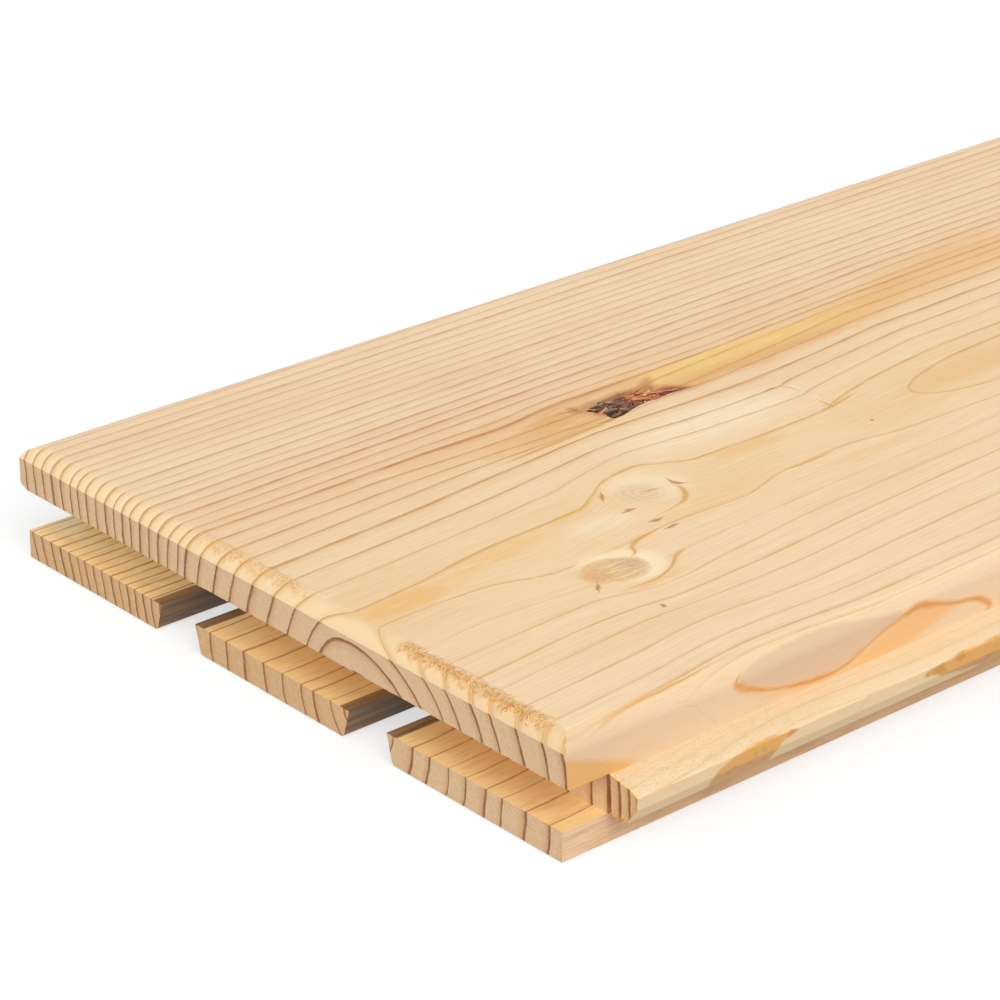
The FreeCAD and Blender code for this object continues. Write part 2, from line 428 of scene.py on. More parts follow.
dark_strokes = [
    [(75.2, 57.2, 0.05), (74.9, 56.2, 0.15), (74.8, 55.3, 0.45), (75.3, 54.5, 0.45), (76.0, 54.0, 0.1)],
    [(68.9, 55.6, 0.05), (70.0, 55.4, 0.2), (71.2, 55.1, 0.05)],
    [(61.2, 57.9, 0.2), (61.8, 58.7, 0.4), (62.4, 59.5, 0.2)],
    [(61.1, 52.1, 0.3), (61.6, 52.1, 0.5), (62.1, 52.1, 0.3)],
    [(62.0, 46.3, 0.3), (62.6, 46.3, 0.5), (63.2, 46.3, 0.3)],
    [(37.8, 33.6, 0.2), (38.3, 34.2, 0.45), (38.8, 34.8, 0.2)],
    [(62.1, 42.9, 0.2), (62.9, 43.0, 0.35), (63.7, 43.1, 0.2)],
    [(82.0, 81.5, 0.08), (83.4, 81.2, 0.15), (85.4, 81.4, 0.25)],
    [(78.0, 88.9, 0.05), (80.5, 88.9, 0.15), (82.8, 88.2, 0.3)]]
pale_strokes = [
    [(42.0, 37.2, 0.05), (44.6, 36.8, 0.22), (47.4, 36.2, 0.05)],
    [(43.6, 38.9, 0.05), (45.4, 38.6, 0.2), (48.2, 38.9, 0.05)],
    [(40.8, 35.0, 0.05), (44.4, 34.4, 0.18), (49.0, 34.6, 0.05)],
    [(119.1, 72.4, 0.05), (119.7, 71.0, 0.22), (119.6, 69.6, 0.05)],
    [(118.9, 66.0, 0.05), (119.1, 64.8, 0.2), (119.0, 63.6, 0.05)],
    [(83.2, 88.1, 0.04), (84.6, 86.9, 0.15), (85.6, 86.6, 0.04)]]
near_arris = (place[:, 2] > 18) & (place[:, 0] < 130)
for name, strokes in (("golden_stroke", golden_strokes), ("dark_stroke", dark_strokes), ("pale_stroke", pale_strokes)):
    store_strokes(name, near_arris, place[near_arris][:, :2], strokes)

# Resin has stained the wood in a long streak behind the pocket and in a short lobe before it
resin_streak = [
    (92, 89.6), (97, 91.2), (103.8, 92.7), (110.6, 92.7), (119.7, 93.4), (129.4, 92.6), (142.9, 92.3), (158.5, 94.8),
    (182, 101.5), (206, 103), (206, 88), (184, 86.6), (165.1, 86), (150, 83.7), (136.9, 83), (124.1, 82.3),
    (115.2, 82.4), (105.6, 82.0), (101, 83), (97, 85)]
resin_lobe = [
    (84.6, 84.2), (83.6, 87), (82.6, 89.8), (81, 91.2), (76, 90.2), (69, 88.2), (60, 85.6), (56, 82.4), (62, 79.8),
    (72, 80.3), (80, 80.7), (85.4, 81.3)]
walked_on = place[:, 2] > 19.9
store("from_streak", walked_on, outline_distance(place[walked_on][:, :2], resin_streak))
store("from_lobe", walked_on, outline_distance(place[walked_on][:, :2], resin_lobe))

# The tongued edge cuts one ring flat, so its dark wood shows as a pinkish patch over an amber
# band that ends in a loop. The figure runs on over the rounded arris, so it is laid out as seen
# from in front of the near corner: u along the board and v up, both on the shoulder's own plane.
seen_along, seen_up = 0.88, 0.618
edge_patch = [
    (34.9, 17.7), (35.3, 18.5), (37.6, 19.5), (41.2, 20.3), (45.5, 20.7), (50.3, 21.0), (55.3, 20.7), (61.0, 19.7),
    (66.7, 18.6), (72.0, 17.9), (72.0, 17.2), (69.8, 16.5), (66.9, 15.7), (64.2, 14.8), (61.6, 13.6), (59.4, 12.9),
    (57.2, 12.5), (53.6, 12.5), (49.2, 12.9), (44.8, 13.8), (40.4, 14.9), (36.5, 16.5)]
amber_band = [
    (35.0, 17.5), (36.5, 16.3), (40.4, 14.7), (44.8, 13.6), (49.2, 12.7), (53.6, 12.3), (57.2, 12.3), (59.4, 12.7),
    (61.6, 13.4), (64.2, 14.6), (66.9, 15.5), (69.8, 16.3), (75.7, 17.7), (78.3, 17.0), (83.1, 15.4), (87, 14.9),
    (84, 14.0), (79, 12.6), (74, 11.0), (60, 9.5), (48, 11.2), (41, 13.2), (36.6, 15.4)]
edge_strokes = [
    [(35.6, 18.6, 0.05), (34.9, 17.7, 0.25), (35.6, 16.9, 0.45), (37.2, 16.1, 0.4), (40.4, 14.7, 0.22), (44.8, 13.6, 0.18),
     (49.2, 12.7, 0.25), (53.6, 12.3, 0.3), (57.2, 12.3, 0.2), (59.4, 12.7, 0.18), (61.6, 13.4, 0.22),
     (64.2, 14.6, 0.18), (66.9, 15.5, 0.2), (69.8, 16.3, 0.25), (72.9, 17.0, 0.3), (75.7, 17.6, 0.45),
     (78.3, 16.9, 0.4), (83.1, 15.5, 0.25), (86.9, 14.9, 0.22), (89.6, 14.4, 0.3), (91.9, 13.0, 0.4),
     (92.9, 12.1, 0.4), (92.3, 11.4, 0.25), (90.5, 11.2, 0.05)]]
nose_patches = [
    [(23.8, 6.2), (25.0, 8.0), (26.6, 9.0), (29.5, 9.8), (32.4, 10.4), (37, 10.5), (43, 9.7), (40.0, 8.9), (38.4, 7.4),
     (37.2, 6.1), (30, 5.6)],
    [(71.0, 9.0), (72.4, 9.9), (80, 10.6), (96, 10.6), (96, 5.6), (86, 5.8), (77.8, 7.1), (74.2, 8.0)]]
beside_edge = (place[:, 1] > -0.6) & (place[:, 1] < 5) & (place[:, 0] < 130) & (place[:, 2] > 11.7)
seen = np.stack([place[:, 0] - seen_along * place[:, 1], place[:, 2] + seen_up * place[:, 1]], 1)
store("from_patch", beside_edge, outline_distance(seen[beside_edge], edge_patch))
store("from_band", beside_edge, outline_distance(seen[beside_edge], amber_band))
store_strokes("edge_stroke", beside_edge, seen[beside_edge], edge_strokes)
store("from_end_amber", beside_edge, outline_distance(
    seen[beside_edge], [(-2, 17.6), (0.4, 17.2), (7.3, 14.7), (15.4, 11.9), (12, 10), (-2, 10)]))
on_nose = (place[:, 1] < -3.5) & (place[:, 0] < 130)
seen = np.stack([place[:, 0] - seen_along * (place[:, 1] + 6), place[:, 2] + seen_up * (place[:, 1] + 6)], 1)
store("from_nose_patch", on_nose, np.minimum(*[outline_distance(seen[on_nose], patch) for patch in nose_patches]))


def colour(red, green, blue):
    """Linear colour of an sRGB one given in 0 to 255."""
    parts = [c / 255 for c in (red, green, blue)]
    return [c / 12.92 if c <= 0.04045 else ((c + 0.055) / 1.055) ** 2.4 for c in parts] + [1.0]


def add_node(tree, kind, values=(), **settings):
    node = tree.nodes.new("ShaderNode" + kind)
    for name, value in settings.items():
        setattr(node, name, value)
    for slot, value in dict(values).items():
        if isinstance(value, bpy.types.NodeSocket):
            tree.links.new(value, node.inputs[slot])
        else:
            node.inputs[slot].default_value = value
    return node


def calc(tree, operation, *values):
    return add_node(tree, "Math", dict(enumerate(values)), operation=operation).outputs[0]


def between(tree, value, low, high, start=0.0, end=1.0, soft=True):
    """start where value is at low, end where it is at high, and smoothly from one to the other."""
    kind = "SMOOTHSTEP" if soft else "LINEAR"
    node = add_node(tree, "MapRange", {0: value, 1: low, 2: high, 3: start, 4: end}, interpolation_type=kind)
    return node.outputs[0]


def blend(tree, amount, first, second, how="MIX"):
    node = add_node(tree, "Mix", {0: amount, 6: first, 7: second}, data_type="RGBA", blend_type=how)
    return node.outputs[2]


def stretched_noise(tree, x, y, z, detail=2.0, roughness=0.5):
    """Noise over separate coordinates that are already scaled, so that it can run with the grain."""
    place = add_node(tree, "CombineXYZ", {0: x, 1: y, 2: z}).outputs[0]
    node = add_node(tree, "TexNoise", {"Vector": place, "Scale": 1.0, "Detail": detail, "Roughness": roughness})
    return node.outputs["Fac"]


def curve_through(tree, value, points):
    """A float curve with straight runs between (input, output) points, both from 0 to 1."""
    node = add_node(tree, "FloatCurve", {"Value": value})
    line = node.mapping.curves[0]
    line.points[0].location = points[0]
    line.points[1].location = points[-1]
    for point in points[1:-1]:
        line.points.new(*point)
    for point in line.points:
        point.handle_type = "VECTOR"
    node.mapping.update()
    return node.outputs[0]


# Shader group: where a point lies in the tree, and how close it is to the dark edge of its ring
growth = bpy.data.node_groups.new("growth rings", "ShaderNodeTree")
for name in ("Along", "Across", "Height", "Ring", "Latewood", "Haze", "Year tone", "Crown"):
    growth.interface.new_socket(name, in_out="OUTPUT", socket_type="NodeSocketFloat")
growth.interface.new_socket("Line width", in_out="INPUT", socket_type="NodeSocketFloat").default_value = 1.0
inside = add_node(growth, "TexCoord").outputs["Object"]
inside = add_node(growth, "VectorMath", {0: inside, 1: (1 / MM,) * 3, 2: (-near_end_x, -tongued_edge_y, 0)},
                  operation="MULTIPLY_ADD").outputs[0]
x, y, z = add_node(growth, "SeparateXYZ", {0: inside}).outputs
moved = add_node(growth, "Attribute", attribute_name="growth_shift").outputs["Vector"]
_, y_moved, pith_up = add_node(growth, "SeparateXYZ", {0: moved}).outputs
waver = stretched_noise(growth, calc(growth, "MULTIPLY", x, 0.05), calc(growth, "MULTIPLY", y, 0.22),
                        calc(growth, "MULTIPLY", z, 0.22), 3.0)
waver = calc(growth, "MULTIPLY", calc(growth, "SUBTRACT", waver, 0.5), 0.9)
y_grown = calc(growth, "ADD", calc(growth, "SUBTRACT", y, y_moved), waver)
by_pith = calc(growth, "ABSOLUTE", calc(growth, "SUBTRACT", y_grown, 49.5))
z_grown = calc(growth, "SUBTRACT", z, calc(growth, "MULTIPLY", pith_up, between(growth, by_pith, 8, 22, 1, 0)))
over_pith = between(growth, z_grown, 5, 20, soft=False)
off_pith = calc(growth, "DIVIDE", calc(growth, "SUBTRACT", y_grown, pith_y), 24)
lean = calc(growth, "MULTIPLY", calc(growth, "MULTIPLY", calc(growth, "MULTIPLY", over_pith, over_pith), pith_lean),
            calc(growth, "EXPONENT", calc(growth, "MULTIPLY", calc(growth, "MULTIPLY", off_pith, off_pith), -1)))
out = calc(growth, "SUBTRACT", calc(growth, "SUBTRACT", y_grown, pith_y), lean)
level = calc(growth, "ADD", calc(growth, "ADD", between(growth, out, -10, 10, 0, 0.7), pith_z),
             between(growth, y_grown, 81, 126, 0, 17.6))
up = calc(growth, "SUBTRACT", z_grown, level)
radius = calc(growth, "SQRT", calc(growth, "ADD", calc(growth, "MULTIPLY", out, out),
                                   calc(growth, "MULTIPLY", calc(growth, "MULTIPLY", up, up), ring_flatness)))
most_rings = len(groove_side_rings)
widest = 100.0
share = calc(growth, "DIVIDE", radius, widest)


def ring_number(radii):
    points = [(r / widest, k / most_rings) for k, r in enumerate(radii)]
    points.append((1.0, points[-1][1] + (1 - points[-1][0]) * widest / 2.3 / most_rings))
    return calc(growth, "MULTIPLY", curve_through(growth, share, points), most_rings)


on_groove_side = between(growth, out, -3, 3)
number = add_node(growth, "Mix", {0: on_groove_side, 2: ring_number(tongue_side_rings),
                                  3: ring_number(groove_side_rings)}).outputs[0]
year = calc(growth, "FLOOR", number)
grown = calc(growth, "FRACT", number)
ring_width = between(growth, radius, 43.5, 47.5, 4.7, 2.5)
to_edge = calc(growth, "MULTIPLY", calc(growth, "SUBTRACT", 1.0, grown), ring_width)
# A planed face cuts a ring at a slant, which would draw its thin dark edge wide: the width is
# taken square to the line as it runs over that face
face_x, face_y, face_z = add_node(growth, "SeparateXYZ", {0: add_node(growth, "NewGeometry").outputs["Normal"]}).outputs
steepness = calc(growth, "ABSOLUTE", calc(growth, "SUBTRACT", calc(growth, "MULTIPLY", out, face_z),
                                          calc(growth, "MULTIPLY", calc(growth, "MULTIPLY", up, face_y), ring_flatness)))
lengthways = calc(growth, "SQRT", calc(growth, "ADD", calc(growth, "MULTIPLY", face_y, face_y),
                                       calc(growth, "MULTIPLY", face_z, face_z)))
slant = calc(growth, "DIVIDE", steepness, calc(growth, "MULTIPLY", radius, calc(growth, "MAXIMUM", lengthways, 0.05)))
slant = calc(growth, "MINIMUM", calc(growth, "MAXIMUM", slant, 0.13), 1.0)
slant = add_node(growth, "Mix", {0: between(growth, lengthways, 0.55, 0.3), 2: slant, 3: 1.0}).outputs[0]
on_surface = calc(growth, "DIVIDE", to_edge, slant)
ragged = stretched_noise(growth, calc(growth, "MULTIPLY", x, 0.5), calc(growth, "MULTIPLY", y, 2.2),
                         calc(growth, "MULTIPLY", z, 2.2), 2.0)
on_surface = calc(growth, "MULTIPLY_ADD", calc(growth, "SUBTRACT", ragged, 0.5), 0.28, on_surface)
tone = add_node(growth, "TexWhiteNoise", {"W": year}, noise_dimensions="1D").outputs[0]
width_input = growth.nodes.new("NodeGroupInput")
line_width = calc(growth, "MULTIPLY", width_input.outputs[0], between(growth, tone, 0, 1, 0.8, 1.25))
in_widths = calc(growth, "DIVIDE", on_surface, line_width)
last_cells = between(growth, on_surface, -0.05, 0.25)
late = calc(growth, "MULTIPLY", between(growth, in_widths, 1.35, 0.55), last_cells)
haze = calc(growth, "MULTIPLY", between(growth, in_widths, 3.4, 0.8), last_cells)
off_middle = calc(growth, "MULTIPLY_ADD", grown, 2, -1)
off_middle = calc(growth, "MULTIPLY", off_middle, off_middle)
crown = calc(growth, "SUBTRACT", 1.0, calc(growth, "MULTIPLY", off_middle, off_middle))
ends = growth.nodes.new("NodeGroupOutput")
for slot, value in enumerate((x, y_grown, z, number, late, haze, tone, crown)):
    growth.links.new(value, ends.inputs[slot])

wood = bpy.data.materials.new("planed larch")
wood.use_nodes = True
tree = wood.node_tree
tree.nodes.clear()
normal = add_node(tree, "NewGeometry").outputs["Normal"]
facing = add_node(tree, "SeparateXYZ", {0: normal}).outputs
end_facing = calc(tree, "ABSOLUTE", facing[0])
end_grain = between(tree, end_facing, 0.93, 0.965)
true_place = add_node(tree, "VectorMath", {
    0: add_node(tree, "TexCoord").outputs["Object"], 1: (1 / MM,) * 3, 2: (-near_end_x, -tongued_edge_y, 0)},
    operation="MULTIPLY_ADD").outputs[0]
_, true_across, _ = add_node(tree, "SeparateXYZ", {0: true_place}).outputs
# lines are widest on the sawn ends and on the end of the tongue
on_tongue = between(tree, true_across, 0.3, -0.3)
face_width = between(tree, true_across, 44, 56, 0.46, 0.62)
end_width = between(tree, on_tongue, 0, 1, 0.55, 0.9)
rings = add_node(tree, "Group", {0: between(tree, end_grain, 0, 1, face_width, end_width)}, node_tree=growth)
along, across, height, number, late, haze, tone, crown = rings.outputs
rounded_end = calc(tree, "MULTIPLY", between(tree, end_facing, 0.08, 0.4), calc(tree, "SUBTRACT", 1.0, end_grain))
rounded_end = calc(tree, "MULTIPLY", rounded_end, calc(
    tree, "MAXIMUM", between(tree, along, 5.2, 4.6), between(tree, along, 1195.4, 1196.0)))
shake =add_node(tree, "TexNoise", {"Vector": true_place, "Scale": 0.35, "Detail": 2.0})
shake_x, shake_y, _ = add_node(tree, "SeparateXYZ", {0: shake.outputs["Color"]}).outputs
wavy_along = calc(tree, "MULTIPLY_ADD", calc(tree, "SUBTRACT", shake_x, 0.5), 2.4, along)
wavy_across = calc(tree, "MULTIPLY_ADD", calc(tree, "SUBTRACT", shake_y, 0.5), 2.0, true_across)
near_face = between(tree, height, 13, 18)


def both(*masks):
    amount = masks[0]
    for mask in masks[1:]:
        amount = calc(tree, "MULTIPLY", amount, mask)
    return amount


def without(mask):
    return calc(tree, "SUBTRACT", 1.0, mask)


def paint(skin, amount, tint):
    return blend(tree, amount, skin, colour(*tint))


def kept(name):
    return add_node(tree, "Attribute", attribute_name=name).outputs["Fac"]


def from_stroke(name, roughened):
    """Distance from a kept stroke in its own half widths, with the stroke's edges roughened."""
    attribute = add_node(tree, "Attribute", attribute_name=name).outputs["Vector"]
    signed, half_width, _ = add_node(tree, "SeparateXYZ", {0: attribute}).outputs
    away = calc(tree, "ABSOLUTE", calc(tree, "ADD", signed, roughened))
    return calc(tree, "DIVIDE", away, calc(tree, "MAXIMUM", half_width, 0.02))


wavy_place = add_node(tree, "CombineXYZ", {0: wavy_along, 1: wavy_across}).outputs[0]


def oval(x, y, half_length, half_width, turn=0.0):
    """Distance from the middle of an oval with a wavering rim, which is at 1."""
    turn = math.radians(turn)
    long_way = (math.cos(turn) / half_length, math.sin(turn) / half_length, 0)
    cross_way = (-math.sin(turn) / half_width, math.cos(turn) / half_width, 0)
    aside = add_node(tree, "VectorMath", {0: wavy_place, 1: (x, y, 0)}, operation="SUBTRACT").outputs[0]
    lengthwise, crosswise = [
        add_node(tree, "VectorMath", {0: aside, 1: way}, operation="DOT_PRODUCT").outputs["Value"]
        for way in (long_way, cross_way)]
    squares = calc(tree, "MULTIPLY_ADD", lengthwise, lengthwise, calc(tree, "MULTIPLY", crosswise, crosswise))
    return calc(tree, "SQRT", squares)


def stain(skin, x, y, half_length, half_width, turn, tint, strength, core=0.3, rim=1.2):
    """Lay a tint over an oval of the walking face, full inside its core and gone past its rim."""
    return paint(skin, both(between(tree, oval(x, y, half_length, half_width, turn), rim, core, 0, strength), near_face), tint)


early = add_node(tree, "ValToRGB", {0: calc(tree, "DIVIDE", across, 140.0)})
stops = [(0, (247, 216, 177)), (0.27, (245, 212, 170)), (0.36, (243, 209, 163)), (0.47, (243, 212, 170)),
         (0.56, (240, 206, 163)), (0.66, (238, 201, 159)), (0.76, (241, 212, 175)), (1, (242, 214, 178))]
for k, (at, tint) in enumerate(stops):
    stop = early.color_ramp.elements[k] if k < 2 else early.color_ramp.elements.new(at)
    stop.position = at
    stop.color = colour(*tint)
skin = early.outputs[0]
mottle = stretched_noise(tree, calc(tree, "MULTIPLY", along, 0.02), calc(tree, "MULTIPLY", across, 0.07),
                         calc(tree, "MULTIPLY", height, 0.07))
skin = paint(skin, between(tree, mottle, 0.42, 0.72, 0, 0.3), (228, 186, 136))
for patch in (
        (97, 70, 24, 8.5, 0, (250, 231, 198), 0.8),
        (12, 50.2, 14, 3.6, 3, (239, 188, 112), 0.9),
        (34, 53.4, 15, 2.6, 8, (240, 196, 126), 0.8),
        (52, 57.2, 9, 1.6, 8, (236, 192, 124), 0.6),
        (64, 89, 26, 6.5, 1, (233, 188, 138), 0.6),
        (85, 90.4, 14, 3.4, 8, (226, 180, 126), 0.7),
        (130, 56, 16, 6, 2, (232, 188, 130), 0.5),
        (98, 91.6, 6, 3.4, 20, (236, 190, 120), 0.7),
        (94, 57.6, 12, 2.4, 0, (236, 190, 122), 0.7),
        (76, 46.6, 20, 2.6, 4, (238, 198, 138), 0.5),
        (55, 51, 8, 3.6, 0, (249, 228, 190), 0.75),
        (62, 58.6, 4, 3.0, 0, (240, 204, 146), 0.5),
        (86, 54.4, 5, 4.4, 0, (238, 204, 156), 0.5),
        (128, 58, 14, 4.2, 4, (243, 214, 170), 0.5),
        (150, 56.5, 20, 5.0, 2, (232, 186, 124), 0.6),
        (130, 50, 26, 5, 1, (238, 202, 152), 0.5),
        (112, 42.6, 16, 1.8, -2, (234, 190, 124), 0.4)):
    skin = stain(skin, *patch)
sheen_streaks = stretched_noise(tree, calc(tree, "MULTIPLY", along, 0.12), calc(tree, "MULTIPLY", across, 0.9),
                                calc(tree, "MULTIPLY", height, 0.9), 3.0, 0.6)
drift = stretched_noise(tree, calc(tree, "MULTIPLY", along, 0.09), calc(tree, "MULTIPLY", true_across, 0.5), 6.0)
drift = calc(tree, "MULTIPLY", calc(tree, "SUBTRACT", drift, 0.5), 3.4)
from_streak = calc(tree, "ADD", kept("from_streak"), drift)
from_lobe = calc(tree, "ADD", kept("from_lobe"), drift)
in_streak = both(between(tree, from_streak, between(tree, along, 140, 185, 1.8, 4.2),
                         between(tree, along, 140, 185, -2.0, -6.0)), near_face)
in_lobe = both(between(tree, from_lobe, 0.9, -1.2), near_face)
streak_colour = blend(tree, between(tree, true_across, 84.0, 89.8), colour(220, 158, 74), colour(243, 200, 100))
streak_colour = blend(tree, between(tree, along, 128, 168), streak_colour, colour(232, 176, 98))
streak_colour = blend(tree, between(tree, along, 102, 97), streak_colour, colour(227, 178, 118))
streak_strength = both(between(tree, along, 150, 185, 0.85, 0.65), between(tree, along, 235, 190),
                       between(tree, sheen_streaks, 0.35, 0.65, 0.75, 1.0))
skin = blend(tree, both(in_streak, streak_strength), skin, streak_colour)
lobe_colour = blend(tree, between(tree, along, 60, 80), colour(230, 180, 116), colour(222, 166, 94))
skin = blend(tree, both(in_lobe, between(tree, along, 56, 74, 0.35, 0.8)), skin, lobe_colour)
skin = stain(skin, 100, 88.9, 4.0, 1.7, 30, (188, 130, 66), 0.85)
fibre = stretched_noise(tree, calc(tree, "MULTIPLY", along, 0.05), calc(tree, "MULTIPLY", across, 2.6),
                        calc(tree, "MULTIPLY", height, 2.6), 4.0, 0.65)
skin = paint(skin, between(tree, fibre, 0.35, 0.75, 0, 0.38), (222, 176, 120))
skin = paint(skin, between(tree, sheen_streaks, 0.55, 0.72, 0, 0.35), (250, 229, 192))

# The dark summer wood at the outer edge of each ring
late_face = blend(tree, between(tree, across, 55, 70), colour(212, 160, 84), colour(200, 148, 84))
late_face = blend(tree, between(tree, across, 92, 108), late_face, colour(208, 160, 104))
redder = both(between(tree, oval(62, 95, 55, 12), 1.2, 0.4, 0, 0.75), near_face)
late_face = blend(tree, redder, late_face, colour(192, 122, 70))
near_knots = both(between(tree, oval(70, 54, 24, 12), 1.2, 0.7, 0, 0.8), near_face)
late_face = blend(tree, near_knots, late_face, colour(216, 166, 84))
late_face = blend(tree, calc(tree, "MAXIMUM", in_streak, in_lobe), late_face, colour(196, 134, 64))
patchy = stretched_noise(tree, calc(tree, "MULTIPLY", along, 0.11), calc(tree, "MULTIPLY", true_across, 0.3),
                         calc(tree, "MULTIPLY", height, 0.3))
strength = both(between(tree, tone, 0, 1, 0.62, 0.95), between(tree, patchy, 0.35, 0.65, 0.7, 1.15),
                between(tree, across, 88, 108, 1.0, 0.8), between(tree, across, 48, 60, 0.68, 1.0),
                between(tree, true_across, -0.4, -1.0, 1, 0.8), between(tree, in_streak, 0, 1, 1, 0.7))
in_knot = calc(tree, "MINIMUM", oval(45.8, 37.2, 8.0, 6.3, -15), oval(70.4, 56.0, 7.6, 7.0, -30))
strength = both(strength, calc(tree, "MAXIMUM", between(tree, in_knot, 0.93, 1.03), without(near_face)))
skin = blend(tree, both(haze, strength, between(tree, across, 46, 58, 0.17, 0.26)), skin, late_face)
skin = blend(tree, both(late, strength), skin, late_face)
unruly = calc(tree, "MULTIPLY", calc(tree, "SUBTRACT", shake_x, 0.5), 0.9)

# The pale knot: a soft cream halo, a grey-beige heart with faint rings, an arc and one dark mark
skin = stain(skin, 70.6, 57.0, 8.4, 6.8, -30, (247, 222, 182), 0.85, 0.5, 1.1)
skin = stain(skin, 67.4, 55.6, 5.2, 4.3, -20, (232, 200, 154), 0.75, 0.4, 1.15)
heart_rings = add_node(tree, "TexWave", {
    "Vector": add_node(tree, "CombineXYZ", {0: oval(68.4, 55.4, 1.3, 1.0, -20)}).outputs[0], "Scale": 0.3,
    "Distortion": 2.5, "Detail": 2.0}, wave_type="BANDS", bands_direction="X").outputs["Fac"]
skin = paint(skin, both(between(tree, oval(67.8, 55.6, 5.2, 4.4, -20), 1.1, 0.5, 0, 0.26), near_face, heart_rings),
             (200, 162, 118))
skin = stain(skin, 72.6, 54.2, 3.0, 2.6, -30, (244, 214, 166), 0.5)

# The reddish knot: a darker disc in a cream halo, its grain broken by short checks that carry a painted highlight
skin = stain(skin, 46.6, 37.4, 8.4, 6.4, -20, (251, 230, 188), 0.9, 0.7, 1.08)
skin = stain(skin, 44.4, 37.3, 6.5, 4.6, -18, (228, 188, 134), 0.95, 0.7, 1.1)
skin = stain(skin, 41.2, 36.8, 3.6, 2.8, -20, (226, 172, 116), 0.8)
skin = stain(skin, 47.8, 37.2, 3.0, 3.0, -20, (216, 176, 140), 0.8)
disc_grain = stretched_noise(tree, calc(tree, "MULTIPLY", along, 0.7), calc(tree, "MULTIPLY", true_across, 2.4), 4.0, 3.0)
skin = paint(skin, both(between(tree, oval(44.8, 37.2, 6.3, 4.5, -18), 1.05, 0.8), near_face,
                        between(tree, disc_grain, 0.48, 0.68, 0, 0.5)), (196, 146, 104))
skin = stain(skin, 47.6, 30.0, 8.5, 1.2, 4, (234, 188, 124), 0.6)

# Strokes of resin-rich wood, bark, and checks with a painted highlight, drawn finer than the ovals
a_little = calc(tree, "MULTIPLY", unruly, 0.6)
golden_stroke = from_stroke("golden_stroke", a_little)
dark_stroke = from_stroke("dark_stroke", a_little)
pale_stroke = from_stroke("pale_stroke", a_little)
skin = paint(skin, both(between(tree, golden_stroke, 4.0, 0.8, 0, 0.35), near_face), (234, 188, 112))
skin = paint(skin, both(between(tree, golden_stroke, 1.6, 0.4, 0, 0.75), near_face), (210, 154, 78))
skin = paint(skin, both(between(tree, dark_stroke, 3.0, 0.8, 0, 0.3), near_face), (214, 160, 96))
skin = paint(skin, both(between(tree, dark_stroke, 1.6, 0.4, 0, 0.8), near_face), (170, 116, 60))
# painted highlight: the checks drawn pale
skin = paint(skin, both(between(tree, pale_stroke, 1.6, 0.4, 0, 0.5), near_face), (252, 234, 204))

# Small resin-filled specks
for speck in ((41.8, 23.0, 0.5, 0.6, 0), (119.3, 51.4, 0.45, 0.35, 0), (115.0, 72.7, 1.4, 0.25, 10)):
    skin = stain(skin, *speck, (166, 118, 64), 0.85, 0.4, 1.3)

# The tongued edge: pinkish wood, the patch, the amber band and the dark strokes between them
from_patch = calc(tree, "ADD", kept("from_patch"), unruly)
from_band = calc(tree, "ADD", kept("from_band"), unruly)
edge_stroke = from_stroke("edge_stroke", a_little)
above_tongue = between(tree, true_across, -0.56, -0.51)
on_edge = both(between(tree, true_across, 3.2, 0.4), between(tree, height, 11.7, 11.78), above_tongue)
skin = paint(skin, both(on_edge, 0.75), (227, 195, 158))
skin = paint(skin, both(on_edge, between(tree, along, 34, 2, 0, 0.55)), (222, 184, 146))
skin = paint(skin, both(on_edge, between(tree, from_band, 0.6, -1.6, 0, 0.8)), (236, 180, 110))
skin = paint(skin, both(above_tongue, between(tree, from_patch, 0.5, -0.6, 0, 0.85)), (216, 182, 147))
skin = paint(skin, both(above_tongue, between(tree, edge_stroke, 3.6, 0.8, 0, 0.6)), (230, 164, 88))
broken = between(tree, patchy, 0.4, 0.6, 0.35, 0.85)
skin = paint(skin, both(above_tongue, between(tree, edge_stroke, 2.0, 0.2), broken), (210, 144, 74))
from_end_amber = calc(tree, "ADD", kept("from_end_amber"), unruly)
skin = paint(skin, both(above_tongue, between(tree, from_end_amber, 0.6, -1.0, 0, 0.8)), (227, 168, 88))
edge_lines = stretched_noise(tree, calc(tree, "MULTIPLY", along, 0.11), 2.0, calc(tree, "MULTIPLY", height, 2.4), 3.0, 0.7)
skin = paint(skin, both(on_edge, between(tree, edge_lines, 0.54, 0.66, 0, 0.2)), (206, 158, 118))

# The tongue: a cream top with torn threads, a greyer nose and two amber patches on it
tongue_top = both(between(tree, true_across, -0.52, -0.58), between(tree, height, 10.2, 10.5), without(end_grain))
skin = paint(skin, both(tongue_top, 0.6), (229, 202, 162))
nose = both(between(tree, height, 10.3, 9.9), between(tree, true_across, -3.5, -3.9), without(end_grain))
skin = paint(skin, both(nose, 0.7), (230, 200, 156))
# painted light: the heel below the tongue's nose faces down into shade and is coloured a pale cream
heel = both(nose, between(tree, height, 8.3, 8.1))
skin = paint(skin, both(heel, 0.9), (255, 222, 166))
cracks = stretched_noise(tree, calc(tree, "MULTIPLY", along, 0.3), calc(tree, "MULTIPLY", true_across, 1.1), 7.0, 3.0, 0.8)
torn_top = both(tongue_top, between(tree, calc(tree, "ABSOLUTE", calc(
    tree, "SUBTRACT", cracks, 0.5)), 0.022, 0.006), between(tree, along, 70, 20, 0.15, 0.55))
skin = paint(skin, torn_top, (206, 162, 108))
from_nose_patch = calc(tree, "ADD", kept("from_nose_patch"), unruly)
skin = paint(skin, between(tree, from_nose_patch, 0.3, -0.5, 0, 0.95), (222, 162, 84))
skin = paint(skin, both(between(tree, from_nose_patch, 0.1, -0.3), between(tree, shake_y, 0.5, 0.66, 0, 0.7)), (200, 136, 66))
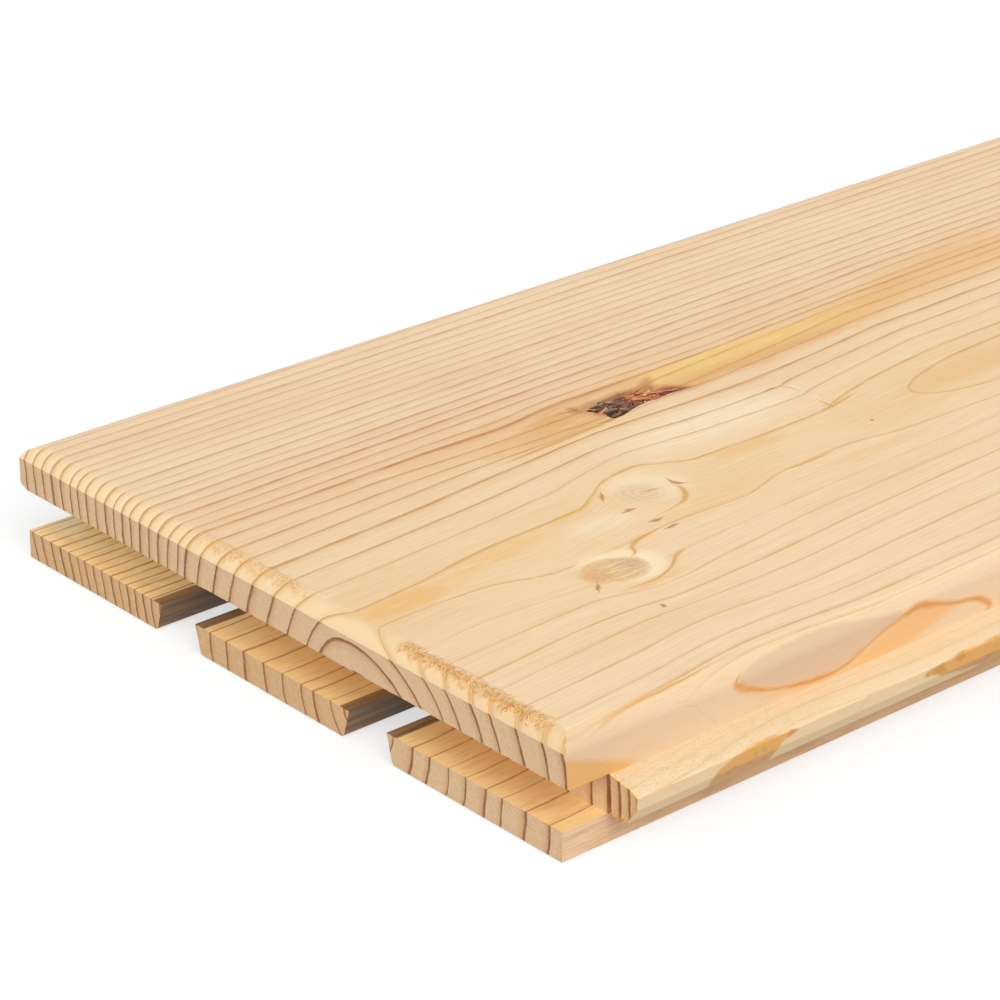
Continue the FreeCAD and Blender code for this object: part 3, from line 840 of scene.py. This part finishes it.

# The lower shoulder below the tongue, a darker strip: painted shade under the tongue, deeper away from the end
low_edge = both(between(tree, height, 5.3, 5.0), between(tree, true_across, 1.5, 0.7), without(end_grain))
skin = paint(skin, both(low_edge, between(tree, along, 3, 12, 0.35, 0.75)), (226, 180, 136))
skin = paint(skin, both(low_edge, between(tree, edge_lines, 0.45, 0.62, 0, 0.5)), (196, 148, 102))

# Milled surfaces: golden inside the grooves that take a tongue, and painted shade, a mottled dark brown, in the relief
# grooves
in_groove = both(between(tree, height, 4.95, 5.08), between(tree, height, 12.6, 12.3),
                 calc(tree, "MAXIMUM", between(tree, along, 9.4, 9.2), between(tree, true_across, 132.4, 132.6)),
                 between(tree, calc(tree, "ABSOLUTE", facing[2]), 0.5, 0.8))
groove_colour_with_painted_light = blend(tree, between(tree, true_across, 60, 110), colour(246, 208, 142), colour(250, 215, 154))
# painted light: the left lip's top turns paler deeper in under the upper lip, where it lies in shade
groove_colour_with_painted_light = blend(tree, both(between(tree, true_across, 60, 110), between(tree, along, 2.0, 5.5)), groove_colour_with_painted_light,
                      colour(255, 240, 190))
skin = blend(tree, both(in_groove, 0.9), skin, groove_colour_with_painted_light)
groove_streaks = stretched_noise(tree, calc(tree, "MULTIPLY", along, 0.16), calc(tree, "MULTIPLY", true_across, 1.3), 2.0, 2.0, 0.65)
skin = paint(skin, both(in_groove, between(tree, groove_streaks, 0.48, 0.7, 0, 0.55)), (226, 174, 104))
skin = paint(skin, both(in_groove, between(tree, late, 0.4, 0.95), 0.7), (160, 104, 52))
relief_middle = calc(tree, "MINIMUM", *[calc(tree, "ABSOLUTE", calc(tree, "SUBTRACT", true_across, y)) for y in (45.0, 94.0)])
in_relief = both(between(tree, height, 6.1, 6.05), between(tree, relief_middle, 7.2, 6.8), without(end_grain),
                 between(tree, height, 0.02, 0.3))
# painted shade: the relief grooves' surfaces are coloured a mottled dark brown
relief_shade_mottle = stretched_noise(tree, calc(tree, "MULTIPLY", along, 0.05), calc(tree, "MULTIPLY", true_across, 0.8),
                         calc(tree, "MULTIPLY", height, 0.8))
skin = blend(tree, both(in_relief, 0.93), skin, blend(tree, between(tree, relief_shade_mottle, 0.35, 0.65), colour(92, 70, 50), colour(138, 104, 72)))

# Bark and torn fibres in the pocket
from_pocket = calc(tree, "ADD", kept("from_pocket"), calc(tree, "MULTIPLY", calc(tree, "SUBTRACT", shake_y, 0.5), 0.7))
bark_noise = stretched_noise(tree, calc(tree, "MULTIPLY", along, 1.1), calc(tree, "MULTIPLY", true_across, 2.6),
                             calc(tree, "MULTIPLY", height, 2.0), 4.0, 0.7)
bark = add_node(tree, "Attribute", attribute_name="bark_tint").outputs["Color"]
bark = blend(tree, between(tree, bark_noise, 0.44, 0.3, 0, 0.55), bark, colour(48, 29, 20))
bark = blend(tree, between(tree, bark_noise, 0.56, 0.74, 0, 0.45), bark, colour(226, 166, 112))
skin = paint(skin, both(between(tree, from_pocket, 1.5, 0.2, 0, 0.6), between(tree, true_across, 82.6, 84.4, 0.1, 1)), (184, 126, 66))
skin = blend(tree, between(tree, from_pocket, 0.12, -0.2), skin, bark)

# Sawn ends: the rings show dark and sharp across open cells, with fine slanted saw marks
speckle = add_node(tree, "TexNoise", {"Vector": true_place, "Scale": 3.2, "Detail": 2.0, "Roughness": 0.7}).outputs["Fac"]
on_lips = between(tree, height, 8, 5)
lip_end = blend(tree, between(tree, true_across, 30, 60), colour(216, 182, 140), colour(206, 166, 117))
end_skin = blend(tree, on_lips, colour(217, 183, 142), lip_end)
end_skin = paint(end_skin, between(tree, speckle, 0.35, 0.75, 0, 0.5), (198, 157, 112))
saw_marks = stretched_noise(tree, calc(tree, "MULTIPLY_ADD", height, 0.55, calc(tree, "MULTIPLY", true_across, 0.4)),
                            calc(tree, "MULTIPLY_ADD", height, 3.4, calc(tree, "MULTIPLY", true_across, -1.9)), 1.0, 2.0, 0.6)
end_skin = paint(end_skin, both(between(tree, saw_marks, 0.5, 0.72), between(tree, on_lips, 0, 1, 0.25, 0.5)), (190, 146, 100))
end_skin = paint(end_skin, both(between(tree, saw_marks, 0.48, 0.3), between(tree, on_lips, 0, 1, 0.3, 0.45)), (234, 204, 170))
end_skin = paint(end_skin, both(haze, 0.45), (190, 132, 70))
end_skin = paint(end_skin, both(late, between(tree, patchy, 0.35, 0.65, 0.8, 1.0)), (124, 66, 26))
skin = blend(tree, end_grain, skin, end_skin)

# The rounded arris of the ends: golden ring edges between soft cream crowns, partly a painted highlight, torn near the
# tongue
skin = paint(skin, both(rounded_end, 0.7), (222, 192, 152))
skin = paint(skin, both(rounded_end, between(tree, true_across, 110, 70, 0, 0.5)), (224, 187, 138))
skin = paint(skin, both(rounded_end, between(tree, true_across, 50, 14, 0, 0.6)), (212, 170, 116))
# the cream on each crown is partly the early wood's own colour and partly a painted highlight on the rounding's lobes
skin = paint(skin, both(rounded_end, between(tree, crown, 0.45, 0.95, 0, 0.45)), (238, 210, 170))
skin = paint(skin, both(rounded_end, haze, 0.3), (222, 174, 104))
skin = paint(skin, both(rounded_end, late, 0.65), (198, 146, 76))
tear_noise = stretched_noise(tree, calc(tree, "MULTIPLY", along, 1.3), calc(tree, "MULTIPLY", true_across, 3.4), 5.0, 3.0, 0.7)
clumps = stretched_noise(tree, calc(tree, "MULTIPLY", along, 0.45), calc(tree, "MULTIPLY", true_across, 0.5), 9.0, 2.0)
ragged_along = calc(tree, "MULTIPLY_ADD", calc(tree, "SUBTRACT", clumps, 0.5), 3.0, along)
torn_band = both(between(tree, calc(tree, "ABSOLUTE", calc(tree, "SUBTRACT", ragged_along, 2.7)), 1.7, 0.7),
                 between(tree, clumps, 0.36, 0.52, 0.35, 1),
                 between(tree, height, 17.6, 17.9), calc(tree, "MAXIMUM", both(
                     between(tree, true_across, 41, 38.5), between(tree, true_across, 4, 7)),
                     both(between(tree, true_across, 62, 66, 0, 0.6), between(tree, true_across, 96, 84))))
skin = paint(skin, both(torn_band, 0.5), (234, 182, 104))
skin = paint(skin, both(torn_band, between(tree, tear_noise, 0.48, 0.6, 0, 0.85)), (192, 130, 58))

fine_relief = both(calc(tree, "MULTIPLY_ADD", late, 0.6, fibre), 0.18)
crowned = calc(tree, "ADD", both(rounded_end, crown), both(torn_band, tear_noise, 1.5))
bump = add_node(tree, "Bump", {"Height": calc(tree, "ADD", fine_relief, crowned), "Distance": 0.00022, "Strength": 0.9})
shader = add_node(tree, "BsdfPrincipled", {
    "Base Color": skin, "Roughness": between(tree, fibre, 0.2, 0.8, 0.44, 0.6), "Normal": bump.outputs[0]})
add_node(tree, "OutputMaterial", {"Surface": shader.outputs[0]})
board.data.materials.clear()
board.data.materials.append(wood)
board.data.shade_smooth()
board.data.set_sharp_from_angle(angle=math.radians(20))
# The long rounded arris runs into the shoulder below it without an edge
ends = np.zeros(len(board.data.edges) * 2, int)
board.data.edges.foreach_get("vertices", ends)
at_foot = (np.abs(place[:, 1] - 0.1) < 0.05) & (np.abs(place[:, 2] - 17.7) < 0.05)
sharp = np.zeros(len(board.data.edges), bool)
board.data.attributes["sharp_edge"].data.foreach_get("value", sharp)
sharp &= ~at_foot[ends.reshape(-1, 2)].all(1)
board.data.attributes["sharp_edge"].data.foreach_set("value", sharp)
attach(board, "root")
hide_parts("floorboard")

# Torn fibres: the mill lifted short golden threads of wood on the near arris beside the tongue,
# and left splinters under the end of the long tongue. Each is a thin sliver rooted in the board.
chance = np.random.default_rng(11)
arris_run, arris_drop = 3.5, 2.3
arris_radius = (arris_run ** 2 + arris_drop ** 2) / (2 * arris_drop)
arris_start = 0.5


def arris_height(x):
    run = np.clip(arris_start + arris_run - x, 0, arris_run)
    return board_thickness - arris_radius + np.sqrt(arris_radius ** 2 - run ** 2)


roots, tips, widths = [], [], []
for y_middle, spread, count, x_middle in (
        (38, 0.9, 50, 3.4), (34.6, 1.2, 80, 3.0), (30.6, 1.3, 80, 2.9), (26.4, 1.2, 70, 2.7), (22.6, 1.1, 60, 2.9),
        (18.2, 1.3, 70, 2.6), (14.0, 1.0, 50, 2.5), (9.4, 1.1, 60, 2.4), (43.5, 1.2, 30, 4.2), (68, 2.5, 30, 2.8), (80, 3, 24, 2.8)):
    for _ in range(count):
        x = np.clip(x_middle + chance.normal(0, 0.55), 0.9, 6.5)
        y = y_middle + chance.normal(0, spread)
        yaw = chance.normal(0.4, 0.8)
        length = chance.uniform(0.5, 1.5)
        lift = chance.uniform(0.08, 0.42)
        tip_x = x + length * math.cos(yaw)
        roots.append((x, y, arris_height(x) - 0.08))
        tips.append((tip_x, y + length * math.sin(yaw), min(arris_height(tip_x) + lift, 19.97)))
        widths.append(chance.uniform(0.12, 0.28))
tongue_end = 8.84
for _ in range(80):
    y = chance.uniform(-6.2, -0.6)
    low = 5.2 + max(0.0, -4.4 - y) * 1.43
    z = low + abs(chance.normal(0, 0.45))
    length = chance.uniform(0.2, 0.75)
    roots.append((tongue_end + 0.1, y, z + 0.05))
    tips.append((tongue_end - length * chance.uniform(0.2, 1.0), y + chance.normal(0, 0.3), z - length * chance.uniform(0.0, 0.6)))
    widths.append(chance.uniform(0.1, 0.2))


def sliver_mesh(name, roots, tips, widths):
    """Closed slivers, each from a three-cornered root to a sharp tip."""
    roots, tips, widths = np.array(roots), np.array(tips), np.array(widths)[:, None]
    run = tips - roots
    run /= np.linalg.norm(run, axis=1)[:, None]
    sideways = np.cross(run, (0, 0, 1))
    sideways /= np.linalg.norm(sideways, axis=1)[:, None]
    upward = np.cross(sideways, run)
    corners = np.stack([roots - sideways * widths / 2, roots + sideways * widths / 2, roots + upward * widths * 0.45, tips], 1)
    corners[..., 2] = np.minimum(corners[..., 2], board_thickness - 0.02)
    corners = (corners.reshape(-1, 3) + (near_end_x, tongued_edge_y, 0)) * MM
    first = np.arange(len(roots))[:, None] * 4
    faces = np.concatenate([first + (0, 3, 1), first + (1, 3, 2), first + (2, 3, 0), first + (0, 1, 2)])
    mesh = bpy.data.meshes.new(name)
    mesh.from_pydata(corners.tolist(), [], faces.tolist())
    whole = bmesh.new()
    whole.from_mesh(mesh)
    bmesh.ops.recalc_face_normals(whole, faces=whole.faces)
    whole.to_mesh(mesh)
    whole.free()
    shades = mesh.attributes.new("thread_shade", "FLOAT", "POINT")
    shades.data.foreach_set("value", np.repeat(chance.uniform(0, 1, len(roots)), 4).astype(np.float32))
    piece = bpy.data.objects.new(name, mesh)
    bpy.context.scene.collection.objects.link(piece)
    return piece


threads = sliver_mesh("torn_fibres", roots, tips, widths)
thread_wood = bpy.data.materials.new("torn larch fibre")
thread_wood.use_nodes = True
tree = thread_wood.node_tree
tree.nodes.clear()
shade = add_node(tree, "Attribute", attribute_name="thread_shade").outputs["Fac"]
thread_colour = add_node(tree, "ValToRGB", {0: shade})
for k, (at, tint) in enumerate([(0.0, (168, 106, 44)), (0.35, (208, 148, 70)), (0.7, (232, 184, 112)), (1.0, (248, 218, 166))]):
    stop = thread_colour.color_ramp.elements[k] if k < 2 else thread_colour.color_ramp.elements.new(at)
    stop.position = at
    stop.color = colour(*tint)
grit = add_node(tree, "TexNoise", {"Vector": add_node(tree, "TexCoord").outputs["Object"], "Scale": 3000.0, "Detail": 2.0})
thread_skin = blend(tree, between(tree, grit.outputs["Fac"], 0.35, 0.7, 0, 0.35), thread_colour.outputs[0], colour(190, 140, 76))
thread_bump = add_node(tree, "Bump", {"Height": grit.outputs["Fac"], "Distance": 0.00003, "Strength": 0.5})
shader = add_node(tree, "BsdfPrincipled", {
    "Base Color": thread_skin, "Roughness": between(tree, shade, 0, 1, 0.5, 0.65), "Normal": thread_bump.outputs[0]})
add_node(tree, "OutputMaterial", {"Surface": shader.outputs[0]})
threads.data.materials.append(thread_wood)
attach(threads, "root")

# Bark scales and splinters: loose scales of dark inner bark stand on edge in the pocket, and a few
# pale splinters of the wood beside it bridge them. They are thin plates, wedged in the torn floor.
scale_groups = [
    # x and y range, how many, colours from dark to light
    ((85.5, 91), (84.6, 88.4), 20, ((70, 54, 40), (136, 112, 84))),
    # under the pocket's near lip the scales are near-black, partly the bark's own colour and partly painted shade
    ((86.5, 93), (81.9, 84.2), 12, ((30, 18, 14), (86, 54, 38))),
    ((90.5, 94), (83.8, 87.6), 12, ((92, 56, 46), (148, 100, 82))),
    ((93.5, 98.5), (83.4, 88.0), 22, ((140, 84, 48), (228, 156, 96))),
    ((98, 103.5), (83.2, 86.0), 18, ((120, 62, 46), (210, 138, 98)))]
plates = []
for x_range, y_range, count, (dark, light) in scale_groups:
    for _ in range(count):
        x, y = chance.uniform(*x_range), chance.uniform(*y_range)
        tint = np.array(dark) + (np.array(light) - dark) * chance.uniform() ** 1.5
        plates.append((x, y, chance.uniform(0.5, 1.3), chance.uniform(0.16, 0.42), chance.normal(-0.1, 0.4),
                       chance.normal(0, 0.6), chance.uniform(0.1, 0.4), tint))
# pale splinters: x, y, half length, half width, yaw, tilt, height over the floor, colour
plates += [
    (91.0, 87.2, 1.7, 0.16, -0.15, 0.3, 0.75, (226, 160, 128)), (89.6, 87.6, 1.2, 0.12, -0.1, 0.2, 0.7, (214, 150, 116)),
    (98.2, 86.3, 1.6, 0.2, 0.45, 0.4, 0.9, (236, 182, 136)), (99.4, 85.3, 1.5, 0.15, -0.45, 0.2, 0.7, (214, 142, 108)),
    (95.2, 85.2, 1.5, 0.2, -0.35, 0.3, 0.7, (214, 136, 96)), (96.6, 87.4, 1.3, 0.14, -0.2, 0.3, 0.8, (200, 136, 90)),
    (84.8, 87.3, 1.5, 0.12, -0.5, 0.2, 0.8, (222, 166, 122)), (86.2, 85.4, 1.6, 0.2, 0.1, 0.2, 0.8, (216, 142, 98)),
    (92.4, 84.2, 0.6, 0.07, 0.9, 0.3, 0.7, (170, 128, 112)), (88.6, 83.7, 0.4, 0.06, 0.4, 0.3, 0.8, (168, 150, 140)),
    # the last is a tiny near-white chip at the pocket's dark near edge, a painted glint
    (101.6, 84.6, 1.2, 0.14, -0.5, 0.3, 0.6, (198, 124, 98)), (94.9, 83.3, 0.25, 0.08, 0.2, 0.2, 1.0, (232, 214, 198))]
corner_signs = np.array([(-1, -1, -1), (1, -1, -1), (1, 1, -1), (-1, 1, -1), (-1, -1, 1), (1, -1, 1), (1, 1, 1), (-1, 1, 1)])
plate_faces = np.array([(0, 3, 2, 1), (4, 5, 6, 7), (0, 1, 5, 4), (1, 2, 6, 5), (2, 3, 7, 6), (3, 0, 4, 7)])
plate_corners, plate_tints = [], []
for x, y, half_length, half_width, yaw, tilt, over_floor, tint in plates:
    inward = -outline_distance(np.array([(x, y)]), pocket_outline)[0]
    if inward < 0.35:
        continue
    floor_height = board_thickness - pocket_depth(x, y, inward)
    ahead = np.array((math.cos(yaw), math.sin(yaw), chance.normal(0, 0.12)))
    aside = np.array((-math.sin(yaw) * math.cos(tilt), math.cos(yaw) * math.cos(tilt), math.sin(tilt)))
    standing = np.cross(ahead, aside)
    corners = corner_signs * (half_length, half_width, 0.045) * (1 + chance.uniform(-0.3, 0.3, (8, 3)))
    corners = (x, y, floor_height + over_floor * 0.6) + corners @ np.array((ahead, aside, standing))
    corners[:, 2] -= max(corners[:, 2].max() - (board_thickness - 0.02), 0)
    plate_corners.append(corners)
    plate_tints.append([colour(*np.clip(tint, 0, 255))] * 8)
scale_mesh = bpy.data.meshes.new("bark_scales")
scale_places = (np.concatenate(plate_corners) + (near_end_x, tongued_edge_y, 0)) * MM
scale_mesh.from_pydata(scale_places.tolist(), [], (
    np.arange(len(plate_corners))[:, None, None] * 8 + plate_faces).reshape(-1, 4).tolist())
scale_tint = scale_mesh.attributes.new("scale_tint", "FLOAT_COLOR", "POINT")
scale_tint.data.foreach_set("color", np.concatenate(plate_tints).astype(np.float32).ravel())
scales = bpy.data.objects.new("bark_scales", scale_mesh)
bpy.context.scene.collection.objects.link(scales)
inner_bark = bpy.data.materials.new("inner bark")
inner_bark.use_nodes = True
tree = inner_bark.node_tree
tree.nodes.clear()
tinted = add_node(tree, "Attribute", attribute_name="scale_tint").outputs["Color"]
grit = add_node(tree, "TexNoise", {"Vector": add_node(tree, "TexCoord").outputs["Object"], "Scale": 2600.0, "Detail": 3.0})
bark_skin = blend(tree, between(tree, grit.outputs["Fac"], 0.5, 0.3, 0, 0.5), tinted, colour(40, 26, 22))
grit_bump = add_node(tree, "Bump", {"Height": grit.outputs["Fac"], "Distance": 0.00006, "Strength": 0.7})
shader = add_node(tree, "BsdfPrincipled", {
    "Base Color": bark_skin, "Roughness": between(tree, grit.outputs["Fac"], 0.3, 0.7, 0.5, 0.75),
    "Normal": grit_bump.outputs[0]})
add_node(tree, "OutputMaterial", {"Surface": shader.outputs[0]})
scale_mesh.materials.append(inner_bark)
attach(scales, "root")

# The stage: a pale floor under soft studio light, and the camera where the photograph was taken
floor_mesh = bpy.data.meshes.new("studio_floor")
floor_mesh.from_pydata([(-9, -9, -0.0002), (9, -9, -0.0002), (9, 9, -0.0002), (-9, 9, -0.0002)], [], [(0, 1, 2, 3)])
studio_floor = bpy.data.objects.new("studio_floor", floor_mesh)
bpy.context.scene.collection.objects.link(studio_floor)
paper = bpy.data.materials.new("white paper")
paper.use_nodes = True
tree = paper.node_tree
tree.nodes.clear()
seen = add_node(tree, "LightPath")
to_viewer = calc(tree, "MAXIMUM", calc(tree, "MAXIMUM", seen.outputs["Is Camera Ray"], seen.outputs["Is Glossy Ray"]),
                 seen.outputs["Is Transmission Ray"])
matt = add_node(tree, "BsdfDiffuse", {"Color": (0.42, 0.42, 0.42, 1)})
glow = add_node(tree, "Emission", {"Color": (1, 1, 1, 1), "Strength": calc(tree, "MULTIPLY", to_viewer, 0.62)})
lit = add_node(tree, "AddShader", {0: matt.outputs[0], 1: glow.outputs[0]})
add_node(tree, "OutputMaterial", {"Surface": lit.outputs[0]})
floor_mesh.materials.append(paper)

world = bpy.data.worlds.new("studio")
bpy.context.scene.world = world
world.use_nodes = True
tree = world.node_tree
tree.nodes.clear()
seen = add_node(tree, "LightPath")
to_viewer = calc(tree, "MAXIMUM", calc(tree, "MAXIMUM", seen.outputs["Is Camera Ray"], seen.outputs["Is Glossy Ray"]),
                 seen.outputs["Is Transmission Ray"])
sky = add_node(tree, "Background", {"Color": (1, 1, 1, 1), "Strength": between(tree, to_viewer, 0, 1, 0.42, 1.0, False)})
tree.links.new(sky.outputs[0], tree.nodes.new("ShaderNodeOutputWorld").inputs[0])

for name, azimuth, elevation, strength, softness in (
        ("window", -112, 42, 2.14, 50), ("reflector", -176, 18, 1.15, 40)):
    lamp = bpy.data.lights.new(name, "SUN")
    lamp.energy = strength
    lamp.angle = math.radians(softness)
    holder = bpy.data.objects.new(name, lamp)
    bpy.context.scene.collection.objects.link(holder)
    turn, lift = math.radians(azimuth), math.radians(elevation)
    from_there = Vector((math.cos(turn) * math.cos(lift), math.sin(turn) * math.cos(lift), math.sin(lift)))
    holder.rotation_euler = from_there.to_track_quat("Z", "Y").to_euler()

camera = bpy.data.cameras.new("camera")
camera.sensor_width = 36
camera.lens = 130.36
camera.clip_start = 0.05
viewpoint = bpy.data.objects.new("camera", camera)
bpy.context.scene.collection.objects.link(viewpoint)
yaw, pitch, roll = math.radians(48.64), math.radians(24.91), math.radians(0.236)
upward = Vector((0, 0, 1))
level_way = Vector((math.cos(yaw), math.sin(yaw), 0))
rightward = level_way.cross(upward)
ahead = level_way * math.cos(pitch) - upward * math.sin(pitch)
over = level_way * math.sin(pitch) + upward * math.cos(pitch)
right_axis = rightward * math.cos(roll) + over * math.sin(roll)
up_axis = over * math.cos(roll) - rightward * math.sin(roll)
turned = Matrix((right_axis, up_axis, -ahead)).transposed().to_4x4()
viewpoint.matrix_world = Matrix.Translation((-0.91565, -0.4063, 0.2729)) @ turned
bpy.context.scene.camera = viewpoint

bpy.context.scene.view_settings.view_transform = "Standard"
